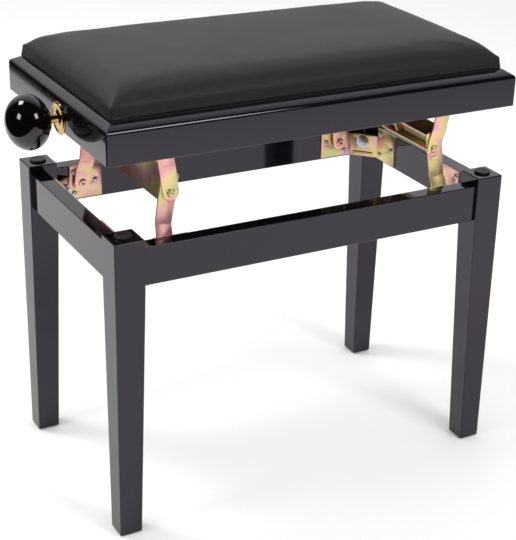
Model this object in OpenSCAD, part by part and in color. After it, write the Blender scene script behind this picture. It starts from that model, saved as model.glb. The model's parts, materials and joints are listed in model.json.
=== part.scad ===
// Height-adjustable piano bench: a lacquered leg frame, a padded seat frame above it, and a sheet
// steel lift between them. Each end of the lift is a straight-line linkage: a frame pivots low on
// the base (P), its knee (K) carries a link up to the seat (Q), and its top ends in a trunnion nut
// (D) on a screw spindle. PK = KQ = KD, so Q stays above P and level with D at every height.

/* [Seat] */
// Length of the seat frame along X
seat_l = 560; // [520:1:620]
// Depth of the seat frame along Y
seat_w = 318; // [300:1:350]
// Height of the seat frame's rails
seat_h = 46; // [43:0.5:50]
// Thickness of the seat frame's rails
seat_rail_t = 29; // [28:0.5:31]
// Height of the seat frame's underside above the floor, raised
seat_under = 488.5; // [480:0.5:495]
// Radius along the seat frame's outer top edge
seat_edge_r = 4.5; // [2:0.5:8]
// Rise of the border from that edge up to the cushion
border_rise = 4.5; // [0:0.5:8]
// Width of the border beside the cushion, at the ends
border_end = 12; // [8:0.5:16]
// Width of the border beside the cushion, front and back
border_side = 16.5; // [12:0.5:20]
// Thickness of the plywood under the cushion
board_t = 12; // [9:0.5:12]
// Height of the cushion's upright side
cushion_side_h = 20; // [16:0.5:28]
// Height of the cushion at its crown
cushion_crown_h = 37; // [32:1:48]

/* [Base] */
// Length over the legs along X
base_l = 546; // [500:1:556]
// Depth over the legs along Y
base_w = 317; // [290:1:318]
// Height of the legs with their glides
leg_h = 395; // [390:1:398]
// Width of a leg at the top
leg_top = 38; // [36:0.5:42]
// Width of a leg at the floor
leg_foot = 29; // [25:0.5:36]
// Height where the taper of a leg's inner faces starts
taper_z = 330; // [300:1:334]
// Height of the base rails
rail_h = 48.5; // [46:0.5:55]
// Thickness of the base rails
rail_t = 20.5; // [18:0.5:22]
// Set-back of a rail's outer face behind the leg faces
rail_set_in = 4.7; // [2:0.1:6]
// Drop of a rail's top edge below the leg tops
rail_drop = 11.5; // [8:0.5:14]

/* [Lift] */
// Distance between neighbouring pivots of the linkage
link_len = 72.5; // [70:0.5:74]
// Angle of the lower arms above the horizontal, raised
arm_angle = 80; // [76:0.5:83]
// Distance of the base pivots from the middle of the bench
pivot_x = 198.5; // [190:0.5:205]
// Height of the base pivots
pivot_z = 360.3; // [356:0.1:364]
// Thickness of the arm and link strips
strip_t = 2.5; // [2:0.1:3]
// Width of a link strip
link_w = 20.6; // [18:0.2:22]
// Radius of the pivot rivets' shanks
rivet_r = 4; // [3:0.1:4.5]
// Radius of the screw spindle
spindle_r = 5; // [4:0.1:6]
// Distance of the spindle in front of the middle of the bench
spindle_front = 15; // [0:1:20]

/* [Knob] */
// Diameter of the knob
knob_d = 66; // [50:1:75]
// Length of the knob along the spindle
knob_l = 52; // [40:1:60]
// Bare shaft between the rosette and the knob
knob_gap = 9.5; // [4:0.5:20]
// Diameter of the rosette on the seat frame
rosette_d = 40; // [30:1:46]

/* [Hidden] */
$fn = 48;

// Free movement round a pin, and the gap between parts that slide past each other
run_gap = 0.05;
side_gap = 0.3;

// Colours of the finishes
black_lacquer = [0.09, 0.09, 0.10];
black_vinyl = [0.16, 0.15, 0.15];
raw_ply = [0.74, 0.60, 0.42];
yellow_zinc = [0.85, 0.68, 0.50];
blue_zinc = [0.70, 0.74, 0.78];
black_rubber = [0.05, 0.05, 0.05];
black_gloss = [0.03, 0.03, 0.03];
brass_zinc = [0.72, 0.55, 0.26];

// The bench's middle stands off the origin, because the knob counts in the overall length
knob_end = seat_l / 2 + 2.5 + knob_gap + knob_l;
mid_x = (knob_end - seat_l / 2) / 2;

// Seat frame
seat_top = seat_under + seat_h;
ledge_z = seat_top - board_t;
seat_in_x = seat_l / 2 - seat_rail_t;
seat_in_y = seat_w / 2 - seat_rail_t;
pocket_l = seat_l - 2 * (border_end + 1);
pocket_w = seat_w - 2 * (border_side + 1);
board_play = 1;
cushion_l = seat_l - 2 * (border_end - 2);
cushion_w = seat_w - 2 * (border_side - 2.5);

// Base
foot_z = 1.5;
rail_top = leg_h - rail_drop;
rail_low = rail_top - rail_h;
base_in_x = base_l / 2 - rail_set_in - rail_t;
base_in_y = base_w / 2 - rail_set_in - rail_t;
leg_in_x = base_l / 2 - leg_top;
leg_in_y = base_w / 2 - leg_top;
tenon_t = 9;
tenon_h = 30;
tenon_l = 12;
bumper_t = 3;
bumper_r = 10.5;

// Linkage in the plane of one end: heights and distances from the middle
lean = 90 - arm_angle;
reach = link_len * cos(arm_angle);
rise = link_len * sin(arm_angle);
knee_x = pivot_x - reach;
knee_z = pivot_z + rise;
top_z = pivot_z + 2 * rise;
nut_x = pivot_x - 2 * reach;

// Layers of the sheet metal, as distances from the middle plane of the bench
plate_t = 2;
base_face = base_in_y - plate_t;
seat_face = seat_in_y - plate_t;
foot_out = base_face - 2.5;
arm_out = 120;
link_out = arm_out + side_gap + strip_t;
head_out = seat_face - 2.3;
head_h = 2.2;

// Arm frame, measured along the arm from its base pivot
foot_r = 11;
joggle = [16, 34];
web_low = 62.5;
web_top = 100.3;
arm_edge_out = 14;
arm_edge_in = 8;
notch_low = 86;
ear_gap = 26;
ear_r = 9.5;
trunnion_r = 5;

// Corner plates
plate_low = 337.5;
plate_high = 383;
plate_diag_top = 369.5;
flange_l = 47;
fold_in = 30.8;
bolt_z = 359.5;
bolt_r = 4;
screw_r = 1.8;
screw_l = 12;
screw_head_r = 3.6;
screw_head_h = 2;

// ---- Helpers ------------------------------------------------------------------------------------

// Puts the bench's middle where the overall length is centred on the origin
module bench() translate([mid_x, 0, 0]) children();

// Turns a shape drawn for the back right corner into the corner with these signs
module corner(sx, sy)
    mirror([sx < 0 ? 1 : 0, 0, 0]) mirror([0, sy < 0 ? 1 : 0, 0]) children();

module all_corners()
    for (sx = [-1, 1], sy = [-1, 1]) corner(sx, sy) children();

// An outline drawn in X and Z, given thickness along Y
module along_y(y0, y1) translate([0, y1, 0]) rotate([90, 0, 0]) linear_extrude(y1 - y0) children();

// An outline drawn in Y and Z, given length along X
module along_x(x0, x1) translate([x0, 0, 0]) rotate([90, 0, 90]) linear_extrude(x1 - x0) children();

// A round bar between two distances along Y or along X
module bar_y(y0, y1, r) along_y(y0, y1) circle(r);
module bar_x(x0, x1, r) along_x(x0, x1) circle(r);

// Stations of the linkage at the back right corner
module at_base_pivot() translate([pivot_x, 0, pivot_z]) children();
module at_knee() translate([knee_x, 0, knee_z]) children();
module at_seat_pivot() translate([pivot_x, 0, top_z]) children();
module at_nut() translate([nut_x, -spindle_front, top_z]) children();

// Upright arm and link drawings, leaned to where they stand when the seat is up
module lean_arm() at_base_pivot() rotate([0, -lean, 0]) children();
module lean_link() at_knee() rotate([0, lean, 0]) children();

// ---- Corner plates and what goes through them -----------------------------------------------------

// Each screw of a corner plate: the origin on the plate's inner face, +Z out of the wood
module plate_screw_places(in_x, in_y, z_mid, dz) {
    near = 8.4;
    far = 38.5;
    face_x = in_x - plate_t;
    face_y = in_y - plate_t;
    for (at = [[near, dz], [near, -dz], [far, 0]]) {
        translate([in_x - fold_in - at[0], face_y, z_mid + at[1]]) rotate([90, 0, 0]) children();
        translate([face_x, in_y - fold_in - at[0], z_mid + at[1]]) rotate([0, -90, 0]) children();
    }
}

module base_screw_places() plate_screw_places(base_in_x, base_in_y, 360.2, 15) children();
module seat_screw_places() plate_screw_places(seat_in_x, seat_in_y, 504, 8.6) children();

// Pan-head wood screw, and the hole that its shank fills
module screw_shank() translate([0, 0, -screw_l]) cylinder(r = screw_r, h = screw_l);
module pan_screw() {
    screw_shank();
    difference() {
        cylinder(r = screw_head_r, h = screw_head_h);
        for (turn = [0, 90]) rotate([0, 0, turn]) translate([-2, -0.45, screw_head_h - 1]) cube([4, 0.9, 2]);
    }
}

// Plan of a corner plate: two flanges on the rails' inner faces, joined by a diagonal
module plate_plan(in_x, in_y) {
    bend = plate_t * tan(22.5);
    polygon([
        [in_x - fold_in - flange_l, in_y],
        [in_x - fold_in, in_y],
        [in_x, in_y - fold_in],
        [in_x, in_y - fold_in - flange_l],
        [in_x - plate_t, in_y - fold_in - flange_l],
        [in_x - plate_t, in_y - fold_in - bend],
        [in_x - fold_in - bend, in_y - plate_t],
        [in_x - fold_in - flange_l, in_y - plate_t]
    ]);
}

// The middle of the diagonal's outer face, +X pointing into the leg
module at_diagonal(in_x, in_y, z)
    translate([in_x - fold_in / 2, in_y - fold_in / 2, z]) rotate([0, 0, 45]) children();

module base_plate() {
    half_diag = fold_in / sqrt(2);
    slot_l = 29;
    difference() {
        translate([0, 0, plate_low]) linear_extrude(plate_high - plate_low) plate_plan(base_in_x, base_in_y);
        // the diagonal stops lower than the flanges
        at_diagonal(base_in_x, base_in_y, plate_diag_top)
            translate([-10, -half_diag - 0.5, 0]) cube([20, 2 * half_diag + 1, 40]);
        at_diagonal(base_in_x, base_in_y, bolt_z) bar_x(-10, 10, bolt_r);
        // long slot under the bolt
        at_diagonal(base_in_x, base_in_y, 344) translate([-10, -slot_l / 2, -0.8]) cube([20, slot_l, 1.6]);
        at_base_pivot() bar_y(base_face - 1, base_in_y + 1, rivet_r);
        base_screw_places() screw_shank();
    }
    // lip folded towards the leg along the diagonal's top
    at_diagonal(base_in_x, base_in_y, plate_diag_top - plate_t)
        translate([-plate_t, -half_diag + 4, 0]) cube([5, 2 * half_diag - 8, plate_t]);
}

module base_plate_at(sx, sy) color(yellow_zinc) bench() corner(sx, sy) base_plate();

module seat_plate() {
    difference() {
        translate([0, 0, seat_under + 2]) linear_extrude(ledge_z - seat_under - 7)
            plate_plan(seat_in_x, seat_in_y);
        at_seat_pivot() bar_y(seat_face - 1, seat_in_y + 1, rivet_r);
        seat_screw_places() screw_shank();
    }
}

module seat_plate_at(sx, sy) color(yellow_zinc) bench() corner(sx, sy) seat_plate();

module base_plate_screws() color(blue_zinc) bench() all_corners() base_screw_places() pan_screw();
module seat_plate_screws() color(blue_zinc) bench() all_corners() seat_screw_places() pan_screw();

// Hanger bolt: wood thread in the leg, machine thread through the diagonal of the plate
module bolt_axis() at_diagonal(base_in_x, base_in_y, bolt_z) children();
module bolt_shank() bolt_axis() bar_x(-12.5, 30, bolt_r);
module leg_bolts() color(blue_zinc) bench() all_corners() bolt_shank();

module leg_bolt_nuts() color(blue_zinc) bench() all_corners() bolt_axis() {
    washer_t = 1.6;
    nut_t = 6.5;
    difference() {
        union() {
            bar_x(-plate_t - washer_t, -plate_t, 8.5);
            along_x(-plate_t - washer_t - nut_t, -plate_t - washer_t) circle(7.5, $fn = 6);
        }
        bar_x(-20, 0, bolt_r);
    }
}

// ---- Base ---------------------------------------------------------------------------------------

// Outline of a leg from one side: upright outside, tapered inside below taper_z
module leg_side(outer, width_top, width_foot)
    polygon([
        [outer - width_foot, foot_z], [outer, foot_z], [outer, leg_h],
        [outer - width_top, leg_h], [outer - width_top, taper_z]
    ]);

module leg_centre(inset) translate([base_l / 2 - inset, base_w / 2 - inset, 0]) children();
module bumper_stem() leg_centre(leg_top / 2) translate([0, 0, leg_h - 9]) cylinder(r = 3, h = 9);
module glide_pin() leg_centre(leg_foot / 2) translate([0, 0, foot_z]) cylinder(r = 2, h = 14);

// Tenons of the long and the end rails, on the back right corner
module tenon_long()
    translate([leg_in_x, base_in_y + (rail_t - tenon_t) / 2, rail_low + (rail_h - tenon_h) / 2])
        cube([tenon_l, tenon_t, tenon_h]);
module tenon_end()
    translate([base_in_x + (rail_t - tenon_t) / 2, leg_in_y, rail_low + (rail_h - tenon_h) / 2])
        cube([tenon_t, tenon_l, tenon_h]);

module leg() difference() {
    intersection() {
        along_y(0, base_w) leg_side(base_l / 2, leg_top, leg_foot);
        along_x(0, base_l) leg_side(base_w / 2, leg_top, leg_foot);
    }
    tenon_long();
    tenon_end();
    bolt_shank();
    bumper_stem();
    glide_pin();
}

module leg_at(sx, sy) color(black_lacquer) bench() corner(sx, sy) leg();

module base_rail_long(sy) color(black_lacquer) bench() mirror([0, sy < 0 ? 1 : 0, 0]) {
    difference() {
        translate([-leg_in_x, base_in_y, rail_low]) cube([2 * leg_in_x, rail_t, rail_h]);
        for (sx = [-1, 1]) corner(sx, 1) base_screw_places() screw_shank();
    }
    for (sx = [-1, 1]) corner(sx, 1) tenon_long();
}

module base_rail_end(sx) color(black_lacquer) bench() mirror([sx < 0 ? 1 : 0, 0, 0]) {
    difference() {
        translate([base_in_x, -leg_in_y, rail_low]) cube([rail_t, 2 * leg_in_y, rail_h]);
        for (sy = [-1, 1]) corner(1, sy) base_screw_places() screw_shank();
    }
    for (sy = [-1, 1]) corner(1, sy) tenon_end();
}

// Shoulder rivet of a base pivot: flush in the plate, a spacing shoulder, then the arm and the head
module base_pivot_rivets() color(yellow_zinc) bench() all_corners() at_base_pivot() {
    foot_in = foot_out - strip_t;
    bar_y(foot_in - head_h, base_in_y, rivet_r);
    bar_y(foot_out + run_gap, base_face, 6.5);
    bar_y(foot_in - run_gap - head_h, foot_in - run_gap, 5.2);
}

module leg_bumpers() color(black_rubber) bench() all_corners() {
    leg_centre(leg_top / 2) translate([0, 0, leg_h]) cylinder(r = bumper_r, h = bumper_t);
    bumper_stem();
}

module foot_glides() color(black_rubber) bench() all_corners() {
    leg_centre(leg_foot / 2) cylinder(r = 10, h = foot_z);
    glide_pin();
}

// ---- Arm frames ---------------------------------------------------------------------------------

// Front or back strip of an arm frame, upright, with its base pivot at the origin
module arm_strip() difference() {
    intersection() {
        along_y(0, base_w / 2) union() {
            circle(foot_r);
            polygon([
                [-foot_r, 0], [foot_r, 0], [arm_edge_out - 1.5, joggle[1]], [arm_edge_out, web_low],
                [arm_edge_out, web_top], [-arm_edge_in, web_top - 6], [-arm_edge_in, joggle[1]]
            ]);
        }
        along_x(-30, 30) polygon([
            [foot_out, -foot_r - 1], [foot_out, joggle[0]], [arm_out, joggle[1]], [arm_out, web_top],
            [arm_out - strip_t, web_top], [arm_out - strip_t, joggle[1]],
            [foot_out - strip_t, joggle[0]], [foot_out - strip_t, -foot_r - 1]
        ]);
    }
    bar_y(0, base_w / 2, rivet_r + run_gap);
    translate([0, 0, link_len]) bar_y(0, base_w / 2, rivet_r);
}

module arm_strip_at(sx, sy) color(yellow_zinc) bench() corner(sx, sy) lean_arm() arm_strip();

// Pressed channel that joins the two strips, notched in the middle to clear the spindle
module arm_channel() difference() {
    along_y(-arm_out + strip_t, arm_out - strip_t) polygon([
        [arm_edge_out, web_low], [arm_edge_out, web_top], [-arm_edge_in, web_top - 6],
        [-arm_edge_in, web_top - 6 - strip_t], [arm_edge_out - strip_t, web_top - 3.1],
        [arm_edge_out - strip_t, web_low + strip_t], [2, web_low + strip_t], [2, web_low]
    ]);
    translate([-40, -spindle_front - 30, notch_low]) cube([80, 60, 40]);
}

module arm_channel_at(sx) color(yellow_zinc) bench() corner(sx, 1) lean_arm() arm_channel();

// U-shaped bracket on the channel's web, whose ears hold the trunnion nut
module spindle_bracket() {
    web_in = arm_edge_out - strip_t;
    inner = ear_gap / 2;
    difference() {
        union() {
            for (side = [-1, 1]) {
                y0 = side < 0 ? -inner - strip_t : inner;
                translate([0, -spindle_front, 0]) along_y(y0, y0 + strip_t) union() {
                    translate([0, 2 * link_len]) circle(ear_r);
                    polygon([
                        [web_in, web_low + 4], [web_in, notch_low - 2], [ear_r, 2 * link_len],
                        [-ear_r, 2 * link_len], [-5, web_top], [4, web_low + 4]
                    ]);
                }
            }
            translate([web_in - strip_t, -spindle_front - inner - strip_t, web_low + 4])
                cube([strip_t, ear_gap + 2 * strip_t, notch_low - web_low - 6]);
        }
        translate([0, -spindle_front, 2 * link_len]) bar_y(-30, 30, trunnion_r + run_gap);
    }
}

module spindle_bracket_at(sx) color(yellow_zinc) bench() corner(sx, 1) lean_arm() spindle_bracket();

module knee_rivets(sx) color(yellow_zinc) bench() for (sy = [-1, 1]) corner(sx, sy) at_knee() {
    bar_y(arm_out - strip_t - head_h, link_out + head_h, rivet_r);
    bar_y(arm_out - strip_t - head_h, arm_out - strip_t, 5);
    bar_y(link_out + run_gap, link_out + run_gap + head_h, 5);
}

// ---- Links --------------------------------------------------------------------------------------

// Upright link with its knee at the origin, stepped outwards above the knee
module link() difference() {
    intersection() {
        along_y(0, base_w / 2) union() {
            circle(link_w / 2);
            translate([0, link_len]) circle(link_w / 2);
            translate([-link_w / 2, 0]) square([link_w, link_len]);
        }
        along_x(-30, 30) polygon([
            [link_out, -link_w], [link_out, 13], [head_out, 27], [head_out, link_len + link_w],
            [head_out - strip_t, link_len + link_w], [head_out - strip_t, 27],
            [link_out - strip_t, 13], [link_out - strip_t, -link_w]
        ]);
    }
    for (z = [0, link_len]) translate([0, 0, z]) bar_y(0, base_w / 2, rivet_r + run_gap);
}

module link_at(sx, sy) color(yellow_zinc) bench() corner(sx, sy) lean_link() link();

// ---- Trunnion nuts ------------------------------------------------------------------------------

module trunnion_nut(sx) color(yellow_zinc) bench() corner(sx, 1) at_nut() difference() {
    body_half = ear_gap / 2 - side_gap;
    pin_half = ear_gap / 2 + strip_t + 1.2;
    union() {
        bar_y(-body_half, body_half, ear_r - 0.5);
        bar_y(-pin_half, pin_half, trunnion_r);
    }
    bar_x(-20, 20, spindle_r + run_gap);
}

// ---- Seat ---------------------------------------------------------------------------------------

// Section of a seat rail: outer face at 0, inner face at -seat_rail_t. The border slopes up from a
// rounded outer edge.
module seat_rail_section() hull() {
    translate([-seat_rail_t, 0]) square([seat_rail_t, 1]);
    translate([-seat_rail_t, 0]) square([seat_rail_t - border_end, seat_h]);
    translate([-seat_edge_r, seat_h - border_rise - seat_edge_r]) circle(seat_edge_r);
}

// Pocket that the cushion's board lies in, and the fixings that go into the wood
module seat_pocket()
    translate([-pocket_l / 2, -pocket_w / 2, ledge_z]) cube([pocket_l, pocket_w, board_t + 1]);

module seat_cuts() {
    seat_pocket();
    all_corners() seat_screw_places() screw_shank();
    board_screw_places() {
        board_screw();
        cylinder(r = 4, h = 7);
    }
    at_spindle() bar_x(-seat_l / 2 - 1, -seat_in_x + 1, 9);
    bearing_screw_places() screw_shank();
}

module seat_rail_long(sy) color(black_lacquer) bench() difference() {
    mirror([0, sy < 0 ? 1 : 0, 0]) intersection() {
        translate([0, seat_w / 2, seat_under]) along_x(-seat_l / 2, seat_l / 2) seat_rail_section();
        linear_extrude(seat_top + 1) polygon([
            [-seat_l / 2, seat_w / 2], [seat_l / 2, seat_w / 2],
            [seat_in_x, seat_in_y], [-seat_in_x, seat_in_y]
        ]);
    }
    seat_cuts();
}

module seat_rail_end(sx) color(black_lacquer) bench() difference() {
    mirror([sx < 0 ? 1 : 0, 0, 0]) intersection() {
        translate([seat_l / 2, 0, seat_under]) along_y(-seat_w / 2, seat_w / 2) seat_rail_section();
        linear_extrude(seat_top + 1) polygon([
            [seat_l / 2, -seat_w / 2], [seat_l / 2, seat_w / 2],
            [seat_in_x, seat_in_y], [seat_in_x, -seat_in_y]
        ]);
    }
    seat_cuts();
}

// Shoulder rivet of a seat pivot
module seat_pivot_rivets() color(yellow_zinc) bench() all_corners() at_seat_pivot() {
    head_in = head_out - strip_t;
    bar_y(head_in - head_h, seat_in_y, rivet_r);
    bar_y(head_out + run_gap, seat_face, 6.5);
    bar_y(head_in - run_gap - head_h, head_in - run_gap, 5.2);
}

// Screws that hold the cushion's board, from below through the long rails
module board_screw_places()
    for (x = [-120, 0, 120], sy = [-1, 1])
        translate([x, sy * (seat_in_y + 6), seat_under]) children();

module board_screw() {
    translate([0, 0, 4]) cylinder(r = 4, h = 3);
    translate([0, 0, 4]) cylinder(r = 2, h = 35);
}

module board_screws() color(blue_zinc) bench() board_screw_places() board_screw();

module cushion_board() color(raw_ply) bench() difference() {
    translate([-pocket_l / 2 + board_play, -pocket_w / 2 + board_play, ledge_z])
        cube([pocket_l - 2 * board_play, pocket_w - 2 * board_play, board_t]);
    board_screw_places() board_screw();
}

// Plain crowned block that the padded cushion fills
module cushion_slab(inset, z, h)
    translate([inset - cushion_l / 2, inset - cushion_w / 2, z])
        cube([cushion_l - 2 * inset, cushion_w - 2 * inset, h]);

module cushion() color(black_vinyl) bench() hull() {
    cushion_slab(0, seat_top, cushion_side_h);
    cushion_slab(35, seat_top + cushion_crown_h - 5, 1);
    cushion_slab(75, seat_top + cushion_crown_h - 1, 1);
}

// ---- Spindle and knob ---------------------------------------------------------------------------

module at_spindle() translate([0, -spindle_front, top_z]) children();

// Turned flange on the outer face of the left seat rail, with a bush through the rail
module spindle_rosette() color(brass_zinc) bench() at_spindle() difference() {
    face = -seat_l / 2;
    union() {
        bar_x(face - 1.5, face, rosette_d / 2);
        bar_x(face - 2.5, face - 1.5, rosette_d / 2 - 1.5);
        bar_x(face - 1, -seat_in_x, 9);
    }
    bar_x(face - 10, 0, spindle_r + run_gap);
}

module bearing_screw_places()
    for (side = [-1, 1])
        at_spindle() translate([seat_in_x - strip_t, side * 15, 0]) rotate([0, -90, 0]) children();

module spindle_bearing() color(yellow_zinc) bench() difference() {
    at_spindle() union() {
        translate([seat_in_x - strip_t, -21, -10]) cube([strip_t, 42, 20]);
        bar_x(seat_in_x - 13, seat_in_x - strip_t, 8.5);
    }
    at_spindle() bar_x(0, seat_in_x + 1, spindle_r + run_gap);
    bearing_screw_places() screw_shank();
}

module bearing_screws() color(blue_zinc) bench() bearing_screw_places() pan_screw();

module spindle() color(brass_zinc) bench() at_spindle()
    bar_x(-knob_end + 18, seat_in_x - 2, spindle_r);

module spindle_collar() color(blue_zinc) bench() at_spindle() difference() {
    bar_x(-seat_in_x + 0.5, -seat_in_x + 8.5, 9);
    bar_x(-seat_in_x, -seat_in_x + 9, spindle_r);
}

// Flattened ball: a half ellipse turned about the spindle's axis, flat where it meets the shaft
module knob() color(black_gloss) bench() at_spindle() translate([-knob_end + knob_l / 2, 0, 0]) {
    steps = 36;
    flat = 0.93;
    difference() {
        rotate([0, 90, 0]) rotate_extrude() polygon(concat(
            [[0, -knob_l / 2]],
            [for (i = [1 : steps - 1]) let (a = -90 + 180 * i / steps)
                [knob_d / 2 * cos(a), min(knob_l / 2 * flat, knob_l / 2 * sin(a))]],
            [[0, knob_l / 2 * flat]]
        ));
        bar_x(-knob_l / 2 + 18, knob_l, spindle_r);
    }
}

// ---- Parts --------------------------------------------------------------------------------------

leg_at(-1, -1);  // leg_front_left
leg_at(1, -1);  // leg_front_right
leg_at(-1, 1);  // leg_back_left
leg_at(1, 1);  // leg_back_right
base_rail_long(-1);  // base_rail_front
base_rail_long(1);  // base_rail_back
base_rail_end(-1);  // base_rail_left
base_rail_end(1);  // base_rail_right
base_plate_at(-1, -1);  // base_plate_front_left
base_plate_at(1, -1);  // base_plate_front_right
base_plate_at(-1, 1);  // base_plate_back_left
base_plate_at(1, 1);  // base_plate_back_right
leg_bolts();
leg_bolt_nuts();
base_plate_screws();
base_pivot_rivets();
leg_bumpers();
foot_glides();
arm_strip_at(-1, -1);  // arm_left_front
arm_strip_at(-1, 1);  // arm_left_back
arm_channel_at(-1);  // arm_left_channel
spindle_bracket_at(-1);  // spindle_bracket_left
knee_rivets(-1);  // knee_rivets_left
arm_strip_at(1, -1);  // arm_right_front
arm_strip_at(1, 1);  // arm_right_back
arm_channel_at(1);  // arm_right_channel
spindle_bracket_at(1);  // spindle_bracket_right
knee_rivets(1);  // knee_rivets_right
link_at(-1, -1);  // link_left_front
link_at(-1, 1);  // link_left_back
link_at(1, -1);  // link_right_front
link_at(1, 1);  // link_right_back
trunnion_nut(-1);  // trunnion_nut_left
trunnion_nut(1);  // trunnion_nut_right
seat_rail_long(-1);  // seat_rail_front
seat_rail_long(1);  // seat_rail_back
seat_rail_end(-1);  // seat_rail_left
seat_rail_end(1);  // seat_rail_right
seat_plate_at(-1, -1);  // seat_plate_front_left
seat_plate_at(1, -1);  // seat_plate_front_right
seat_plate_at(-1, 1);  // seat_plate_back_left
seat_plate_at(1, 1);  // seat_plate_back_right
seat_plate_screws();
seat_pivot_rivets();
cushion_board();
board_screws();
cushion();
spindle_rosette();
spindle_bearing();
bearing_screws();
spindle();
spindle_collar();
knob();
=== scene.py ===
# %% [markdown]
# # A height-adjustable piano bench
# The bench is a black lacquered leg frame, a padded seat frame above it, and a lift of pressed
# steel between them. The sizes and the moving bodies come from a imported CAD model, which is loaded
# first and never changed. Everything here either gives a CAD part its finish or replaces it with a
# piece that has the rounded edges, bends and padding of the real one.

# %% Load the frame
import json
import math

import bmesh
import bpy
from mathutils import Matrix, Vector, noise


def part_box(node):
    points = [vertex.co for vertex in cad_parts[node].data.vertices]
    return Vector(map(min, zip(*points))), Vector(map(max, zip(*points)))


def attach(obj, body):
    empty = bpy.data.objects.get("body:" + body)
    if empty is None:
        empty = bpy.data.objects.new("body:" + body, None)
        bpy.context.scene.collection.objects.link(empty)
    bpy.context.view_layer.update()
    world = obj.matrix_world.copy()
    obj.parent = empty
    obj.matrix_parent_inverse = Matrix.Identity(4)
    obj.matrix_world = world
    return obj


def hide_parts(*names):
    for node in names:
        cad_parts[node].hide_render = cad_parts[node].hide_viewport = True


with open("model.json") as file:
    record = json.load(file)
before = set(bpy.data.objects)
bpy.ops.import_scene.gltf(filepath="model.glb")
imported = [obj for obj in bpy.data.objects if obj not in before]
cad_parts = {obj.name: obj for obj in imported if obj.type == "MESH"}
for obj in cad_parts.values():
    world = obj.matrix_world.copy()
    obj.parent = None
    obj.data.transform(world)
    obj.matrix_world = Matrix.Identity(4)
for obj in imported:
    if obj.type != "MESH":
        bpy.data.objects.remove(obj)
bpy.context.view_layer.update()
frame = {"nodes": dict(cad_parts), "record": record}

MM = 0.001
scene = bpy.context.scene

# %% [markdown]
# ## Camera
# A long lens seen from the front left and above keeps the legs almost parallel. The camera is
# turned by three plain angles: round the bench, up from the floor, and a slight roll.

# %% Camera
CAMERA_AT = Vector((-0.79849, -1.51796, 1.03167))
CAMERA_AZIMUTH, CAMERA_ELEVATION, CAMERA_ROLL = (math.radians(a) for a in (-31.32, 24.13, 2.41))


def camera_axes(azimuth, elevation, roll):
    """The camera's right, up and backward directions."""
    back = Vector((
        math.sin(azimuth) * math.cos(elevation),
        -math.cos(azimuth) * math.cos(elevation),
        math.sin(elevation),
    ))
    right = Vector((math.cos(azimuth), math.sin(azimuth), 0.0))
    up = back.cross(right)
    return (
        math.cos(roll) * right + math.sin(roll) * up,
        math.cos(roll) * up - math.sin(roll) * right,
        back,
    )


camera = bpy.data.objects.new("studio_camera", bpy.data.cameras.new("studio_camera"))
scene.collection.objects.link(camera)
camera.data.lens = 93.83
camera.data.sensor_width = 36.0
camera.data.shift_x = -0.1116
camera.data.shift_y = -0.0090
camera.data.clip_end = 50.0
turned = Matrix(camera_axes(CAMERA_AZIMUTH, CAMERA_ELEVATION, CAMERA_ROLL)).transposed()
camera.matrix_world = Matrix.Translation(CAMERA_AT) @ turned.to_4x4()
scene.camera = camera
print("camera distance in m:", round(CAMERA_AT.length, 2))

# %% [markdown]
# ## Tools for materials
# A colour is written as the hex value that a paint chart gives. The shader wants it linear, so one
# function turns it. Another adds any node with its settings and its links, and every material and
# every Geometry Nodes tree below is built with it. The scale of a pattern comes from a real size.

# %% Colour and node helpers
def linear(hex_colour):
    """The linear colour a shader socket takes, from an sRGB hex value."""
    channels = [int(hex_colour[i : i + 2], 16) / 255 for i in (1, 3, 5)]
    return (*[c / 12.92 if c <= 0.04045 else ((c + 0.055) / 1.055) ** 2.4 for c in channels], 1.0)


def plug(node, inputs):
    """Sets or links a node's inputs. A node given as an input stands for its first output."""
    for name, value in inputs.items():
        if isinstance(value, bpy.types.Node):
            value = value.outputs[0]
        if isinstance(value, bpy.types.NodeSocket):
            node.id_data.links.new(value, node.inputs[name])
        else:
            node.inputs[name].default_value = value


def add(tree, kind, inputs=None, stops=(), **settings):
    """Adds a node with its settings and inputs. A ramp's stops are (position, hex colour) pairs."""
    made = tree.nodes.new(kind)
    for name, value in settings.items():
        setattr(made, name, value)
    if stops:
        elements = made.color_ramp.elements
        while len(elements) < len(stops):
            elements.new(0.5)
        for element, (position, colour) in zip(elements, stops):
            element.position = position
            element.color = linear(colour)
    plug(made, inputs or {})
    return made


def new_finish(name, sockets):
    """A material whose shader's sockets have these values, its tree, shader and coordinates."""
    material = bpy.data.materials.new(name)
    material.use_nodes = True
    tree = material.node_tree
    shader = tree.nodes["Principled BSDF"]
    plug(shader, sockets)
    place = add(tree, "ShaderNodeTexCoord").outputs["Object"]
    return material, tree, shader, place


def per_mm(size_mm):
    """The texture scale at which one feature is this many millimetres wide."""
    return 1.0 / (size_mm * MM)


print("the paint value #808080 in linear light:", round(linear("#808080")[0], 3))

# %% [markdown]
# ## Polyester lacquer
# Piano black is a thick polyester lacquer, sprayed, then sanded and buffed. It is almost a mirror,
# and its colour is what it reflects. Two things give it away as lacquer and not glass: a very
# shallow waviness left by sanding, and a faint haze where it has been wiped.

# %% Polyester lacquer
def polyester_lacquer():
    material, tree, shader, place = new_finish("polyester_lacquer_buffed_black", {
        "Base Color": linear("#0b0a0d"), "IOR": 1.52, "Specular Tint": linear("#f3ecff")})
    haze = add(tree, "ShaderNodeTexNoise", {"Vector": place, "Scale": per_mm(55), "Detail": 4.0})
    rough = add(tree, "ShaderNodeMapRange", {"Value": haze, "To Min": 0.035, "To Max": 0.085})
    sanding = add(tree, "ShaderNodeTexNoise", {"Vector": place, "Scale": per_mm(22), "Detail": 1.0})
    waves = add(tree, "ShaderNodeBump", {
        "Height": sanding, "Distance": 0.05 * MM, "Strength": 0.35})
    plug(shader, {"Roughness": rough, "Normal": waves})
    return material


LACQUER = polyester_lacquer()
print("lacquer:", LACQUER.name)

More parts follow.
